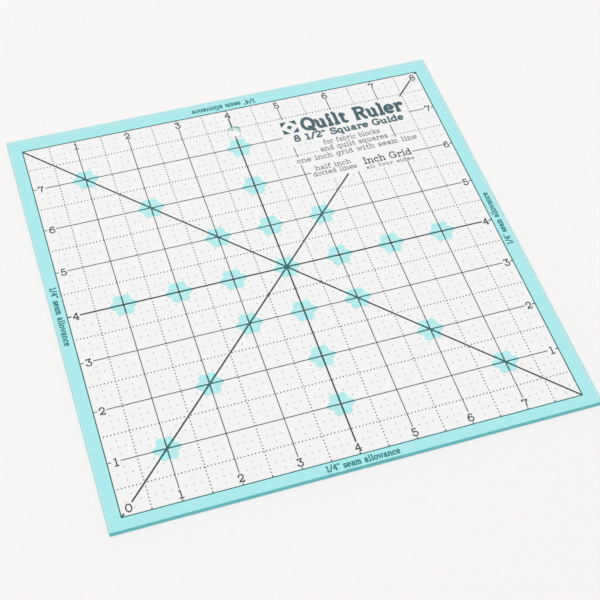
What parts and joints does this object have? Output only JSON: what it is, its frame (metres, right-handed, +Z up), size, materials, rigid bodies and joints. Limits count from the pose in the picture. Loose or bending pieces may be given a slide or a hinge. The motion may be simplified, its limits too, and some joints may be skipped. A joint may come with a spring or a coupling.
{
  "type": "quilting ruler",
  "caption": "Clear acrylic square ruler for trimming quilt blocks, with an aqua seam allowance band, an inch grid, diagonals, flower markers and a hang hole.",
  "frame": {"origin": "under the centre of the square, on the surface the ruler lies on", "axes": "+X along the bottom row of numerals from 0 to 8, +Y up the ruler towards the hang hole, +Z up through the sheet"},
  "size_m": [0.216, 0.216, 0.0031],
  "materials": {
    "acrylic": "clear polished cast acrylic with laser cut edges",
    "aqua_ink": "thin aqua print on the underside",
    "dark_ink": "thin slate black print on the underside"
  },
  "bodies": {
    "root": {"acrylic_plate": "acrylic", "seam_allowance_band": "aqua_ink", "grid_border_line": "dark_ink", "ruled_lines": "dark_ink", "centre_line_above_hole": "dark_ink", "diagonal_upper_end": "dark_ink", "flower_marker_x4_y4": "aqua_ink", "flower_marker_x4_y1": "aqua_ink", "flower_marker_x1_y4": "aqua_ink", "flower_marker_x1_y7": "aqua_ink", "flower_marker_x1_y1": "aqua_ink", "flower_marker_x4_y2": "aqua_ink", "flower_marker_x2_y4": "aqua_ink", "flower_marker_x2_y6": "aqua_ink", "flower_marker_x2_y2": "aqua_ink", "flower_marker_x4_y3": "aqua_ink", "flower_marker_x3_y4": "aqua_ink", "flower_marker_x3_y5": "aqua_ink", "flower_marker_x3_y3": "aqua_ink", "flower_marker_x4_y5": "aqua_ink", "flower_marker_x5_y4": "aqua_ink", "flower_marker_x5_y3": "aqua_ink", "flower_marker_x5_y5": "aqua_ink", "flower_marker_x4_y6": "aqua_ink", "flower_marker_x6_y4": "aqua_ink", "flower_marker_x6_y2": "aqua_ink", "flower_marker_x4_y7": "aqua_ink", "flower_marker_x7_y4": "aqua_ink", "flower_marker_x7_y1": "aqua_ink", "numeral_bottom_1": "dark_ink", "numeral_top_1": "dark_ink", "numeral_left_1": "dark_ink", "numeral_right_1": "dark_ink", "numeral_bottom_2": "dark_ink", "numeral_top_2": "dark_ink", "numeral_left_2": "dark_ink", "numeral_right_2": "dark_ink", "numeral_bottom_3": "dark_ink", "numeral_top_3": "dark_ink", "numeral_left_3": "dark_ink", "numeral_right_3": "dark_ink", "numeral_bottom_4": "dark_ink", "numeral_top_4": "dark_ink", "numeral_left_4": "dark_ink", "numeral_right_4": "dark_ink", "numeral_bottom_5": "dark_ink", "numeral_top_5": "dark_ink", "numeral_left_5": "dark_ink", "numeral_right_5": "dark_ink", "numeral_bottom_6": "dark_ink", "numeral_top_6": "dark_ink", "numeral_left_6": "dark_ink", "numeral_right_6": "dark_ink", "numeral_bottom_7": "dark_ink", "numeral_top_7": "dark_ink", "numeral_left_7": "dark_ink", "numeral_right_7": "dark_ink", "numeral_corner_0": "dark_ink", "numeral_corner_8": "dark_ink"}
  },
  "joints": []
}
